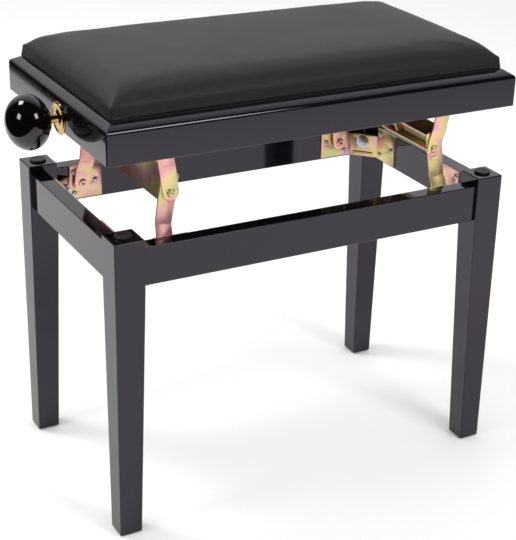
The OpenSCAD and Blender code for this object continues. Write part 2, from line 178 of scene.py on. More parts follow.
# %% [markdown]
# ## Synthetic leather
# The cover is a knitted cloth coated with black vinyl, embossed with a fine leather grain about
# half a millimetre across. That is too fine to show at arm's length, so it is drawn a little
# coarser. The grain breaks the shine into a soft grey sheen, and the coating is a touch warmer than
# the lacquer.

# %% Synthetic leather
def synthetic_leather():
    material, tree, shader, place = new_finish("synthetic_leather_embossed_black", {
        "IOR": 1.5, "Specular Tint": linear("#fff1f4"), "Sheen Weight": 0.06,
        "Sheen Roughness": 0.4, "Sheen Tint": linear("#b9aeb0")})
    cells = add(tree, "ShaderNodeTexVoronoi", {
        "Vector": place, "Scale": per_mm(1.5)}, feature="DISTANCE_TO_EDGE")
    pores = add(tree, "ShaderNodeMapRange", {"Value": cells, "From Max": 0.12})
    grain = add(tree, "ShaderNodeBump", {"Height": pores, "Distance": 0.22 * MM, "Strength": 0.7})
    drift = add(tree, "ShaderNodeTexNoise", {"Vector": place, "Scale": per_mm(70), "Detail": 3.0})
    tone = add(tree, "ShaderNodeValToRGB", {"Fac": drift}, [(0.3, "#0b0b0c"), (0.7, "#121113")])
    rough = add(tree, "ShaderNodeMapRange", {"Value": drift, "To Min": 0.44, "To Max": 0.56})
    plug(shader, {"Base Color": tone, "Roughness": rough, "Normal": grain})
    return material


LEATHER = synthetic_leather()
print("cover:", LEATHER.name)

# %% [markdown]
# ## Zinc plate
# The lift is pressed from sheet steel and zinc plated, then dipped in chromate. The film is thin
# enough to tint the metal by interference, so its colour drifts between straw, rose and pale green
# over a few centimetres. The screws are zinc plated without the yellow dip and stay a bluish
# silver.

# %% Zinc plate, yellow and bright
def yellow_chromate():
    material, tree, shader, place = new_finish("zinc_plate_yellow_chromate", {"Metallic": 1.0})
    cloud = add(tree, "ShaderNodeTexNoise", {
        "Vector": place, "Scale": per_mm(34), "Detail": 2.5, "Distortion": 0.6})
    along = add(tree, "ShaderNodeSeparateXYZ", {"Vector": place}).outputs["X"]
    bath = add(tree, "ShaderNodeMapRange", {
        "Value": along, "From Min": -0.15, "From Max": 0.24, "To Min": -0.04, "To Max": 0.04})
    tint = add(tree, "ShaderNodeMath", {0: cloud, 1: bath}, operation="ADD")
    film = add(tree, "ShaderNodeValToRGB", {"Fac": tint}, [
        (0.34, "#d9a08f"), (0.43, "#eaaeb0"), (0.50, "#ecc0b4"), (0.56, "#e8d08e"),
        (0.64, "#d6d09a")])
    rolled = add(tree, "ShaderNodeTexNoise", {"Vector": place, "Scale": per_mm(2.2), "Detail": 3.0})
    rough = add(tree, "ShaderNodeMapRange", {"Value": rolled, "To Min": 0.34, "To Max": 0.48})
    skin = add(tree, "ShaderNodeBump", {"Height": rolled, "Distance": 0.03 * MM, "Strength": 0.4})
    plug(shader, {"Base Color": film, "Roughness": rough, "Normal": skin})
    return material


def bright_zinc():
    material, tree, shader, place = new_finish("zinc_plate_bright", {"Metallic": 1.0})
    grain = add(tree, "ShaderNodeTexNoise", {"Vector": place, "Scale": per_mm(1.4), "Detail": 2.0})
    tone = add(tree, "ShaderNodeValToRGB", {"Fac": grain}, [(0.35, "#b4bdcb"), (0.65, "#d3d8de")])
    rough = add(tree, "ShaderNodeMapRange", {"Value": grain, "To Min": 0.2, "To Max": 0.34})
    skin = add(tree, "ShaderNodeBump", {"Height": grain, "Distance": 0.02 * MM, "Strength": 0.4})
    plug(shader, {"Base Color": tone, "Roughness": rough, "Normal": skin})
    return material


def brass_plate():
    material, tree, shader, place = new_finish("steel_turned_brass_plated", {"Metallic": 1.0})
    tarnish = add(tree, "ShaderNodeTexNoise", {"Vector": place, "Scale": per_mm(9), "Detail": 4.0})
    tone = add(tree, "ShaderNodeValToRGB", {"Fac": tarnish}, [(0.3, "#a9843f"), (0.7, "#cfae6c")])
    rough = add(tree, "ShaderNodeMapRange", {"Value": tarnish, "To Min": 0.07, "To Max": 0.16})
    tool_marks = add(tree, "ShaderNodeTexWave", {
        "Vector": place, "Scale": per_mm(6), "Distortion": 1.5, "Detail": 1.0}).outputs["Fac"]
    skin = add(tree, "ShaderNodeBump", {
        "Height": tool_marks, "Distance": 0.02 * MM, "Strength": 0.15})
    plug(shader, {"Base Color": tone, "Roughness": rough, "Normal": skin})
    return material


YELLOW_ZINC, BRIGHT_ZINC, BRASS = yellow_chromate(), bright_zinc(), brass_plate()
print("metals:", YELLOW_ZINC.name, BRIGHT_ZINC.name, BRASS.name)

# %% [markdown]
# ## Rubber, knob and plywood
# The bumpers and glides are moulded rubber, matt with a pitted skin. The knob is turned and dipped
# in gloss black until it is as smooth as the lacquer. The seat board is birch plywood, with thin
# veneers on its edge and a plain grain along its face.

# %% Rubber, knob and plywood
def moulded_rubber():
    material, tree, shader, place = new_finish("rubber_moulded_black", {
        "Base Color": linear("#121113"), "IOR": 1.52})
    pits = add(tree, "ShaderNodeTexNoise", {"Vector": place, "Scale": per_mm(1.2), "Detail": 2.0})
    rough = add(tree, "ShaderNodeMapRange", {"Value": pits, "To Min": 0.42, "To Max": 0.6})
    skin = add(tree, "ShaderNodeBump", {"Height": pits, "Distance": 0.05 * MM, "Strength": 0.5})
    plug(shader, {"Roughness": rough, "Normal": skin})
    return material


def dipped_gloss():
    material, tree, shader, place = new_finish("hardwood_dipped_gloss_black", {
        "Base Color": linear("#060506"), "IOR": 1.53})
    flow = add(tree, "ShaderNodeTexNoise", {"Vector": place, "Scale": per_mm(14), "Detail": 1.0})
    rough = add(tree, "ShaderNodeMapRange", {"Value": flow, "To Min": 0.02, "To Max": 0.05})
    skin = add(tree, "ShaderNodeBump", {"Height": flow, "Distance": 0.02 * MM, "Strength": 0.3})
    plug(shader, {"Roughness": rough, "Normal": skin})
    return material


def birch_plywood():
    material, tree, shader, place = new_finish("birch_plywood_sanded", {
        "IOR": 1.45, "Roughness": 0.62})
    along = add(tree, "ShaderNodeMapping", {"Vector": place, "Scale": (0.06, 1.0, 1.0)})
    grain = add(tree, "ShaderNodeTexNoise", {"Vector": along, "Scale": per_mm(3), "Detail": 5.0})
    face = add(tree, "ShaderNodeValToRGB", {"Fac": grain}, [
        (0.35, "#b98f5c"), (0.5, "#cfab78"), (0.7, "#dcbf90")])
    veneers = add(tree, "ShaderNodeTexWave", {
        "Vector": place, "Scale": per_mm(9.6), "Distortion": 0.3}, bands_direction="Z")
    edge = add(tree, "ShaderNodeValToRGB", {"Fac": veneers.outputs["Fac"]}, [
        (0.4, "#8a6238"), (0.6, "#d2b080")])
    edge.color_ramp.interpolation = "EASE"
    facing = add(tree, "ShaderNodeNewGeometry").outputs["Normal"]
    up = add(tree, "ShaderNodeSeparateXYZ", {"Vector": facing}).outputs["Z"]
    level = add(tree, "ShaderNodeMath", {0: up}, operation="ABSOLUTE")
    wood = add(tree, "ShaderNodeMix", {0: level, 6: edge, 7: face}, data_type="RGBA").outputs[2]
    skin = add(tree, "ShaderNodeBump", {"Height": grain, "Distance": 0.08 * MM, "Strength": 0.5})
    plug(shader, {"Base Color": wood, "Normal": skin})
    return material


RUBBER, KNOB_GLOSS, PLYWOOD = moulded_rubber(), dipped_gloss(), birch_plywood()
FINISH_OF_SLOT = {
    "black_lacquer": LACQUER,
    "black_vinyl": LEATHER,
    "plywood": PLYWOOD,
    "yellow_zinc_steel": YELLOW_ZINC,
    "blue_zinc_steel": BRIGHT_ZINC,
    "brass_plated_steel": BRASS,
    "black_rubber": RUBBER,
    "black_gloss_plastic": KNOB_GLOSS,
}
print("finishes:", len(FINISH_OF_SLOT))

# %% [markdown]
# ## Tools for pieces
# Every piece is made in place, in metres, with its object at the origin. A finished piece takes the
# material of its CAD part's slot, rides on its body, and hides the CAD parts that it replaces.

# %% Piece helpers
SLOT_OF = {part["node"]: part["material_slot"] for part in frame["record"]["subparts"]}
BODY_OF = {
    part: body for body, parts in frame["record"]["behaviour"]["bodies"].items() for part in parts}


def mesh_object(name, corners, faces):
    """A smooth-shaded mesh object with outward faces."""
    mesh = bpy.data.meshes.new(name)
    mesh.from_pydata([tuple(c) for c in corners], [], faces)
    made = bpy.data.objects.new(name, mesh)
    scene.collection.objects.link(made)
    tidy_mesh(made)
    return made


def tidy_mesh(obj, merge=1e-6):
    """Merges doubles, turns the faces outwards and shades them smooth."""
    work = bmesh.new()
    work.from_mesh(obj.data)
    bmesh.ops.remove_doubles(work, verts=work.verts, dist=merge)
    bmesh.ops.recalc_face_normals(work, faces=work.faces)
    for face in work.faces:
        face.smooth = True
    work.to_mesh(obj.data)
    work.free()


def settle(obj):
    """Gives obj the mesh that its modifiers make, and takes them off."""
    graph = bpy.context.evaluated_depsgraph_get()
    made = bpy.data.meshes.new_from_object(obj.evaluated_get(graph), depsgraph=graph)
    obj.modifiers.clear()
    obj.data = made
    return obj


def round_edges(obj, width_mm, segments=3, sharper_than=38):
    """Rounds every edge that turns more than this many degrees."""
    bevel = obj.modifiers.new("Rounded edges", "BEVEL")
    bevel.width = width_mm * MM
    bevel.segments = segments
    bevel.limit_method = "ANGLE"
    bevel.angle_limit = math.radians(sharper_than)
    bevel.harden_normals = True
    bevel.use_clamp_overlap = True
    return settle(obj)


def give_finish(obj, material):
    obj.data.materials.clear()
    obj.data.materials.append(material)


def finished(obj, *nodes, replaces=True):
    """Paints obj with the finish of the first CAD part's slot, puts it on that part's body, and
    hides the parts it replaces.
    """
    slot = SLOT_OF[nodes[0]]
    give_finish(obj, FINISH_OF_SLOT[slot])
    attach(obj, BODY_OF[nodes[0]])
    if replaces:
        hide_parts(*nodes)
    return obj


def lathe(name, profile, centre, axis, segments=48):
    """A turned piece: (radius, distance along the axis) pairs in mm, from one end to the other."""
    axis = Vector(axis).normalized()
    side = axis.orthogonal().normalized()
    other = axis.cross(side)
    corners, faces = [], []
    for radius, along in profile:
        for i in range(segments):
            a = 2 * math.pi * i / segments
            out = side * math.cos(a) + other * math.sin(a)
            corners.append(Vector(centre) + axis * along * MM + out * radius * MM)
    for ring in range(len(profile) - 1):
        for i in range(segments):
            j = (i + 1) % segments
            a, b = ring * segments, (ring + 1) * segments
            faces.append((a + i, a + j, b + j, b + i))
    last = (len(profile) - 1) * segments
    faces.append(tuple(range(segments)))
    faces.append(tuple(range(last, last + segments)))
    return mesh_object(name, corners, faces)


def box_of(*nodes):
    """The box round several CAD parts."""
    lows, highs = zip(*[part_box(n) for n in nodes])
    return Vector(map(min, *lows)), Vector(map(max, *highs))


SIDES = ("front", "back", "left", "right")
CORNERS = ("front_left", "front_right", "back_left", "back_right")
SEAT_RAILS = ["seat_rail_" + side for side in SIDES]
seat_low, seat_high = box_of(*SEAT_RAILS)
MIDDLE = (seat_low + seat_high) / 2
print("middle of the bench in mm:", [round(v / MM, 1) for v in MIDDLE])

# %% [markdown]
# ## Legs and base rails
# A leg is a square post whose two inner faces taper to the floor below the rails. Lacquer never
# holds on a sharp edge, so every edge is sanded round before spraying, and that thin line of light
# is what shows the shape of a black object. The bevel does that sanding.

# %% Legs
def cad_corners(node):
    return [v.co.copy() for v in frame["nodes"][node].data.vertices]


def leg(corner):
    """A post with plumb outer faces and tapered inner ones, measured from the CAD leg."""
    name = "leg_" + corner
    low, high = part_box(name)
    sx = -1 if "left" in corner else 1
    sy = -1 if "front" in corner else 1
    outer_x, outer_y = (low[0] if sx < 0 else high[0]), (low[1] if sy < 0 else high[1])
    points = cad_corners(name)
    foot = max(abs(p.x - outer_x) for p in points if p.z < low[2] + 0.2 * MM)
    top = high[0] - low[0]
    taper_z = min(p.z for p in points if abs(abs(p.x - outer_x) - top) < 0.05 * MM)
    rings = [(low[2], foot), (taper_z, top), (high[2], top)]
    corners = []
    for z, width in rings:
        for along, across in ((0, 0), (1, 0), (1, 1), (0, 1)):
            corners.append((outer_x - sx * width * along, outer_y - sy * width * across, z))
    faces = [(0, 1, 2, 3), (8, 9, 10, 11)]
    for r in (0, 4):
        faces += [(r + i, r + (i + 1) % 4, r + 4 + (i + 1) % 4, r + 4 + i) for i in range(4)]
    made = mesh_object("lacquered_" + name, corners, faces)
    finished(round_edges(made, 1.3), name)
    return top, taper_z


LEG_TOP, leg_taper_z = [leg(corner) for corner in CORNERS][0]
print("legs: top width mm", round(LEG_TOP / MM, 1), "taper from mm", round(leg_taper_z / MM, 1))

# %% [markdown]
# The four base rails are tenoned into the legs, so only the length between the legs shows. Each is
# a plain bar, and the same bevel as on the legs makes it a lacquered one.

# %% Base rails
def block(name, low, high):
    """A box between two corners."""
    corners = [(x, y, z) for z in (low[2], high[2]) for x, y in (
        (low[0], low[1]), (high[0], low[1]), (high[0], high[1]), (low[0], high[1]))]
    faces = [(0, 1, 2, 3), (4, 5, 6, 7)]
    faces += [(i, (i + 1) % 4, 4 + (i + 1) % 4, 4 + i) for i in range(4)]
    return mesh_object(name, corners, faces)


base_low, base_high = box_of(*["leg_" + c for c in CORNERS])
for side in SIDES:
    node = "base_rail_" + side
    low, high = (Vector(v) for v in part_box(node))
    long_axis = 0 if side in ("front", "back") else 1
    low[long_axis] = base_low[long_axis] + LEG_TOP
    high[long_axis] = base_high[long_axis] - LEG_TOP
    finished(round_edges(block("lacquered_" + node, low, high), 1.0), node)
between_legs = base_high.x - base_low.x - 2 * LEG_TOP
print("base rails: 4, length between legs mm", round(between_legs / MM, 1))

# %% [markdown]
# ## Seat frame
# Four rails are mitred at the corners and lacquered as one, so no joint shows. One section is swept
# round the rectangle: an upright outer face, a rounded top edge, a border that slopes up towards
# the cushion, a rebate that the cushion's board drops into, and the inner face.

# %% Seat frame
board_low, board_high = (Vector(v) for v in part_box("cushion_board"))
BOARD_PLAY = 1.0 * MM
end_border = board_low.x - seat_low.x - BOARD_PLAY
side_border = board_low.y - seat_low.y - BOARD_PLAY
ledge_z = board_low.z
rail_thickness = seat_high.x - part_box("spindle_bearing")[1][0]
TOP_EDGE_R, BORDER_RISE = 5.5 * MM, 4.5 * MM


def seat_frame():
    """One section, as (inset at the ends, inset at the sides, height), swept round the corners."""
    bottom, top = seat_low.z, seat_high.z
    across, upwards = end_border - TOP_EDGE_R, BORDER_RISE + TOP_EDGE_R
    slope = math.atan2(upwards, across) - math.asin(TOP_EDGE_R / math.hypot(across, upwards))
    section = [(0.0, 0.0, bottom)]
    for i in range(9):
        a = (math.radians(90) - slope) * i / 8
        inset = TOP_EDGE_R * (1 - math.cos(a))
        section.append((inset, inset, top - BORDER_RISE - TOP_EDGE_R * (1 - math.sin(a))))
    section += [
        (end_border - 2.0 * MM, end_border, top),
        (end_border, side_border, top),
        (end_border, side_border, ledge_z),
        (rail_thickness, rail_thickness, ledge_z),
        (rail_thickness, rail_thickness, bottom),
    ]
    corners = [
        (x_side - math.copysign(dx, x_side - MIDDLE.x), y_side - math.copysign(dy, y_side), z)
        for x_side, y_side in ((seat_low.x, seat_low.y), (seat_high.x, seat_low.y),
                               (seat_high.x, seat_high.y), (seat_low.x, seat_high.y))
        for dx, dy, z in section
    ]
    n = len(section)
    faces = [
        (c * n + i, ((c + 1) % 4) * n + i, ((c + 1) % 4) * n + (i + 1) % n, c * n + (i + 1) % n)
        for c in range(4) for i in range(n)
    ]
    return mesh_object("lacquered_seat_frame", corners, faces)


finished(round_edges(seat_frame(), 1.6), *SEAT_RAILS)
print("seat frame: rails mm thick", round(rail_thickness / MM, 1), "borders mm",
      round(end_border / MM, 1), round(side_border / MM, 1))

# %% [markdown]
# ## Pressed steel
# The lift's strips, links, channels and corner plates are cut and bent from sheet. Their shape is
# right in the CAD model, but a press never leaves a knife edge. A merged copy of each one gets
# its bends rounded first and then its cut edges broken.

# %% Pressed steel
def merged_copy(node, name):
    """The CAD part's mesh as flat faces again, ready for a bevel."""
    made = bpy.data.objects.new(name, frame["nodes"][node].data.copy())
    scene.collection.objects.link(made)
    work = bmesh.new()
    work.from_mesh(made.data)
    bmesh.ops.remove_doubles(work, verts=work.verts, dist=2e-6)
    bmesh.ops.dissolve_limit(
        work, angle_limit=math.radians(0.6), verts=work.verts, edges=work.edges, delimit={"NORMAL"}
    )
    for face in work.faces:
        face.smooth = True
    work.to_mesh(made.data)
    work.free()
    return made


def round_bends(obj, width_mm, gentle=20, steep=62):
    """Rounds only the edges that turn between these angles, which are the press bends."""
    work = bmesh.new()
    work.from_mesh(obj.data)
    bends = [
        e for e in work.edges
        if len(e.link_faces) == 2 and e.calc_length() > 6 * MM
        and math.radians(gentle) < e.calc_face_angle() < math.radians(steep)
    ]
    bmesh.ops.bevel(
        work, geom=bends, offset=width_mm * MM, offset_type="OFFSET", segments=3, profile=0.5,
        affect="EDGES", clamp_overlap=True,
    )
    for face in work.faces:
        face.smooth = True
    work.to_mesh(obj.data)
    work.free()
    return len(bends)


PLATES = ("base_plate_", "seat_plate_")
LIFT = ("arm_", "link_", "spindle_bracket_", "spindle_bearing")
PRESSED = [p for p in SLOT_OF if p.startswith(PLATES) and "screws" not in p]
PRESSED += [p for p in SLOT_OF if p.startswith(LIFT)]
bent = 0
for node in PRESSED:
    copy = merged_copy(node, "pressed_" + node)
    bent += round_bends(copy, 1.6)
    finished(round_edges(copy, 0.3, segments=2, sharper_than=50), node)
print("pressed parts:", len(PRESSED), "bends rounded:", bent)

for node in ("trunnion_nut_left", "trunnion_nut_right", "leg_bolt_nuts", "spindle_collar"):
    copy = merged_copy(node, "turned_" + node)
    finished(round_edges(copy, 0.4, segments=2, sharper_than=50), node)

# %% [markdown]
# ## Screws, rivets and bumpers
# These are the same small piece set again and again. Geometry Nodes put one master at each place,
# turned to face the way that its CAD twin faces, then make the copies real and give the finish. The
# places are read from the CAD parts: each loose solid gives its middle and the side its head is on.

# %% Where the fasteners are
def solids(node):
    """The corners of each separate solid of a CAD part."""
    work = bmesh.new()
    work.from_mesh(frame["nodes"][node].data)
    bmesh.ops.remove_doubles(work, verts=work.verts, dist=2e-6)
    left, groups = set(work.verts), []
    while left:
        queue, group = [left.pop()], []
        while queue:
            at = queue.pop()
            group.append(at.co.copy())
            for edge in at.link_edges:
                other = edge.other_vert(at)
                if other in left:
                    left.discard(other)
                    queue.append(other)
        groups.append(group)
    work.free()
    return groups


def head_places(node):
    """(point at the head's end, direction the head faces) for each solid of a part."""
    places = []
    for group in solids(node):
        low = Vector([min(p[i] for p in group) for i in range(3)])
        high = Vector([max(p[i] for p in group) for i in range(3)])
        size = high - low
        along = max(range(3), key=lambda i: size[i])
        middle = (low + high) / 2
        across = [i for i in range(3) if i != along]

        def girth(end):
            near = [p for p in group if abs(p[along] - end) < 0.02 * MM]
            return max(max(abs(p[i] - middle[i]) for i in across) for p in near)

        sign = 1 if girth(high[along]) > girth(low[along]) else -1
        point = middle.copy()
        point[along] = high[along] if sign > 0 else low[along]
        facing = Vector((0, 0, 0))
        facing[along] = sign
        places.append((point, facing))
    return places


print("base screws:", len(head_places("base_plate_screws")),
      "rivets:", len(solids("base_pivot_rivets")))

# %% [markdown]
# One tree serves every fastener. It takes the places as points, the master, and the finish. It puts
# the master at each point, turns it to the point's own direction, and makes the copies real.

# %% The tree that sets one piece at each place
def new_tree(name, inputs, output):
    """A Geometry Nodes tree with these named inputs, and its input node's sockets."""
    tree = bpy.data.node_groups.new(name, "GeometryNodeTree")
    for label, kind in inputs.items():
        tree.interface.new_socket(label, in_out="INPUT", socket_type="NodeSocket" + kind)
    tree.interface.new_socket(output, in_out="OUTPUT", socket_type="NodeSocketGeometry")
    return tree, add(tree, "NodeGroupInput").outputs


def hand_over(tree, shape, finish, output):
    """Ends a tree: it makes the copies real, paints them and puts them out."""
    real = add(tree, "GeometryNodeRealizeInstances", {"Geometry": shape})
    painted = add(tree, "GeometryNodeSetMaterial", {"Geometry": real, "Material": finish})
    add(tree, "NodeGroupOutput", {output: painted})


def made_by(tree, name, mesh, inputs):
    """The plain mesh that a tree makes. Its inputs are set by label, through their identifiers."""
    made = bpy.data.objects.new(name, mesh)
    scene.collection.objects.link(made)
    modifier = made.modifiers.new(tree.name, "NODES")
    modifier.node_group = tree
    sockets = {s.name: s.identifier for s in tree.interface.items_tree if s.in_out == "INPUT"}
    for label, value in inputs.items():
        modifier[sockets[label]] = value
    return settle(made)


def placing_tree():
    tree, given = new_tree("Set a master at each place", {
        "Places": "Geometry", "Master": "Object", "Finish": "Material"}, "Pieces")
    master = add(tree, "GeometryNodeObjectInfo", {"Object": given["Master"]})
    facing = add(tree, "GeometryNodeInputNamedAttribute", {
        "Name": "facing"}, data_type="FLOAT_VECTOR")
    turned_to = add(tree, "FunctionNodeAlignRotationToVector", {
        "Vector": facing.outputs["Attribute"]}, axis="Z")
    copies = add(tree, "GeometryNodeInstanceOnPoints", {
        "Points": given["Places"], "Instance": master.outputs["Geometry"], "Rotation": turned_to})
    hand_over(tree, copies, given["Finish"], "Pieces")
    return tree


PLACING = placing_tree()


def set_pieces(name, places, master, node, replaces=True):
    """One piece made of the master at every place, as the plain mesh of one body."""
    mesh = bpy.data.meshes.new(name)
    mesh.from_pydata([tuple(p) for p, _ in places], [], [])
    facing = mesh.attributes.new("facing", "FLOAT_VECTOR", "POINT")
    for i, (_, way) in enumerate(places):
        facing.data[i].vector = way
    made = made_by(PLACING, name, mesh, {"Master": master, "Finish": FINISH_OF_SLOT[SLOT_OF[node]]})
    return finished(made, node, replaces=replaces)


def master_piece(name, profile, segments=24):
    """A turned master at the origin, its end at z = 0, facing +Z. It is taken away at the end."""
    made = lathe("master_" + name, profile, (0, 0, 0), (0, 0, 1), segments)
    return made


MASTERS = []
print("placing tree:", len(PLACING.nodes), "nodes")

# %% [markdown]
# A pan-head wood screw has a domed head with a cross recess and a shank that fills its hole. The
# recess is cut once, in the master, so all the copies have it.

# %% Screws
def screw_master():
    head = [(0.01, 0.0), (1.6, -0.05), (2.7, -0.35), (3.35, -0.9), (3.6, -1.5), (3.6, -2.0)]
    shank = [(1.8, -2.0), (1.8, -12.5), (0.01, -14.0)]
    made = master_piece("pan_screw", head + shank, 20)
    for turn in (0, 90):
        cutter = block("cutter", (-1.9 * MM, -0.4 * MM, -1.1 * MM), (1.9 * MM, 0.4 * MM, 1.0 * MM))
        cutter.data.transform(Matrix.Rotation(math.radians(turn), 4, "Z"))
        cut = made.modifiers.new("Cross recess", "BOOLEAN")
        cut.operation, cut.solver, cut.object = "DIFFERENCE", "EXACT", cutter
        settle(made)
        bpy.data.objects.remove(cutter)
    return made


MASTERS.append(screw_master())
SCREWED = ("base_plate_screws", "seat_plate_screws", "bearing_screws")
for node in SCREWED:
    set_pieces("set_" + node, head_places(node), MASTERS[-1], node)
print("screws set:", sum(len(solids(node)) for node in SCREWED))

# %% [markdown]
# The pivots are shoulder rivets. The shank turns in the arm, and the thicker shoulder behind it
# keeps the arm clear of the plate. The setting tool leaves a dome with a flattened rim, and a knee
# rivet has one at each end. The masters are turned from a profile, and their depths come from the
# parts.

# %% Rivets
DOME_DEPTH, SHANK_R, SHOULDER_R = 2.2, 4.0, 6.5
SHOULDER_AT, PLATE_THICKNESS = 4.9, 2.0
RIVET_DOME = [(0.01, -1.3), (1.5, -1.2), (2.1, -0.45), (2.9, 0.0), (3.9, -0.3), (4.7, -1.0),
              (5.15, -1.9), (5.2, -DOME_DEPTH)]


def rivet_master(name, behind_dome):
    """A rivet: its dome, then the (radius, distance) pairs behind it."""
    made = master_piece(name, RIVET_DOME + behind_dome, 28)
    MASTERS.append(made)
    return made


def depth_of(node):
    """The depth in mm of a part's first solid, from front to back."""
    ys = [p.y for p in solids(node)[0]]
    return (max(ys) - min(ys)) / MM


def shoulder(depth):
    """The shank through the arm, the shoulder off the plate, and the shank through the plate."""
    plate = PLATE_THICKNESS - depth
    return [(SHANK_R, -DOME_DEPTH), (SHANK_R, -SHOULDER_AT), (SHOULDER_R, -SHOULDER_AT),
            (SHOULDER_R, plate), (SHANK_R, plate), (SHANK_R, -depth)]


def inward_places(node):
    """Rivets on the long sides: the end nearer the bench's middle plane, facing it."""
    places = []
    for group in solids(node):
        ys = [p.y for p in group]
        end = min(ys, key=abs)
        centre = [(min(p[i] for p in group) + max(p[i] for p in group)) / 2 for i in (0, 2)]
        places.append((Vector((centre[0], end, centre[1])), Vector((0, -math.copysign(1, end), 0))))
    return places


rivet_depths = []
for name, node in (("base_rivet", "base_pivot_rivets"), ("seat_rivet", "seat_pivot_rivets")):
    rivet_depths.append(depth_of(node))
    rivet = rivet_master(name, shoulder(rivet_depths[-1]))
    set_pieces("set_" + node, inward_places(node), rivet, node)
for hand in ("left", "right"):
    node = "knee_rivets_" + hand
    depth = depth_of(node)
    far_dome = [(r, -depth - along) for r, along in reversed(RIVET_DOME)]
    knee = rivet_master("knee_rivet_" + hand, [
        (SHANK_R, -DOME_DEPTH), (SHANK_R, DOME_DEPTH - depth)] + far_dome)
    set_pieces("set_" + node, inward_places(node), knee, node)
print("rivet depths mm:", [round(depth, 1) for depth in rivet_depths])

# %% [markdown]
# Each leg top carries a rubber bumper that the seat frame comes down on. It is a low button with a
# rounded rim and a shallow dish. The glides under the feet are plain discs.

# %% Bumpers
def top_places(node, facing):
    """The middle of each solid's upper or lower end."""
    places = []
    for group in solids(node):
        ends = [p.z for p in group]
        x, y = ((min(p[i] for p in group) + max(p[i] for p in group)) / 2 for i in (0, 1))
        z = max(ends) if facing > 0 else min(ends)
        places.append((Vector((x, y, z)), Vector((0, 0, facing))))
    return places


bumper = master_piece("bumper", [
    (0.01, -0.7), (4.0, -0.68), (6.6, -0.35), (7.8, 0.0), (8.8, 0.0), (9.7, -0.3), (10.3, -0.9),
    (10.5, -1.7), (10.5, -3.0), (3.0, -3.0), (3.0, -12.0), (0.01, -12.0)], 40)
glide = master_piece("glide", [
    (0.01, 0.0), (9.2, 0.0), (9.8, -0.3), (10.0, -0.8), (10.0, -1.5), (2.0, -1.5),
    (2.0, -15.5), (0.01, -15.5)], 32)
MASTERS += [bumper, glide]
set_pieces("set_leg_bumpers", top_places("leg_bumpers", 1), bumper, "leg_bumpers")
set_pieces("set_foot_glides", top_places("foot_glides", -1), glide, "foot_glides")
print("bumpers and glides set")

# %% [markdown]
# ## Knob, flange and spindle
# The knob is a turned ball, a little flattened, with a flat where it meets the shaft. The brass
# flange is turned too, with a step and a rolled rim. Both are lathed from a profile.

# %% Knob and flange
knob_low, knob_high = (Vector(v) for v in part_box("knob"))
shaft_axis = (knob_low + knob_high) / 2
KNOB_R = (knob_high.y - knob_low.y) / 2 / MM
KNOB_HALF_LENGTH, KNOB_STEPS = 26.0, 72


def knob_profile():
    """Half of a flattened ball, cut off flat where the shaft goes in."""
    points = [(0.01, 0.0)]
    flat_at = (knob_high.x - knob_low.x) / MM
    for i in range(1, KNOB_STEPS):
        a = math.pi * i / KNOB_STEPS
        along = KNOB_HALF_LENGTH * (1 - math.cos(a))
        if along > flat_at - 0.8:
            break
        points.append((KNOB_R * math.sin(a), along))
    r = points[-1][0]
    points += [(r - 0.7, flat_at - 0.2), (r - 1.8, flat_at), (5.0, flat_at)]
    return points


knob_start = (knob_low.x, shaft_axis.y, shaft_axis.z)
finished(lathe("turned_knob", knob_profile(), knob_start, (1, 0, 0), 96), "knob")
rosette_low, rosette_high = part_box("spindle_rosette")
rosette_r = (rosette_high[1] - rosette_low[1]) / 2 / MM
bush_end = (rosette_high[0] - rosette_low[0]) / MM
flange = lathe("turned_flange", [
    (5.06, 0.0), (8.2, 0.0), (9.0, 0.3), (9.3, 0.9), (10.2, 1.1), (15.5, 0.7), (17.2, 0.5),
    (18.6, 0.6), (19.6, 1.1), (rosette_r, 1.9), (rosette_r, 2.5), (9.0, 2.5), (9.0, bush_end),
    (5.06, bush_end)],
    (rosette_low[0], shaft_axis.y, shaft_axis.z), (1, 0, 0), 64)
finished(flange, "spindle_rosette")
print("knob diameter mm:", round(2 * KNOB_R, 1), "flange diameter mm:", round(2 * rosette_r, 1))

# %% [markdown]
# The spindle is one rod with a left-hand thread on one half and a right-hand thread on the other,
# so turning it draws both nuts in or pushes both out. A thread follows a helix, so Geometry Nodes
# sweep a small ridge along a spiral, once for each hand.

# %% Spindle
THREAD_PITCH = 4.0 * MM
spindle_low, spindle_high = (Vector(v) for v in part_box("spindle"))
spindle_r = (spindle_high.y - spindle_low.y) / 2 / MM
right_nut_x = sum(corner[0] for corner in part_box("trunnion_nut_right")) / 2
thread_reach = abs(right_nut_x - MIDDLE.x) + 16 * MM
thread_start = 44 * MM
core_r = spindle_r - 0.55


def spindle_profile():
    start = spindle_low.x
    middle = MIDDLE.x - start
    marks = [0.0, middle - thread_reach, middle - thread_start,
             middle + thread_start, middle + thread_reach, spindle_high.x - start]
    radii = [spindle_r, core_r, spindle_r, core_r, spindle_r]
    points = [(0.01, 0.0), (spindle_r - 0.6, 0.0)]
    for a, b, r in zip(marks, marks[1:], radii):
        points += [(r, a / MM + 0.6), (r, b / MM - 0.6)]
    return points + [(spindle_r - 0.6, marks[-1] / MM), (0.01, marks[-1] / MM)]


rod_start = (spindle_low.x, shaft_axis.y, shaft_axis.z)
finished(lathe("turned_spindle", spindle_profile(), rod_start, (1, 0, 0), 32), "spindle")


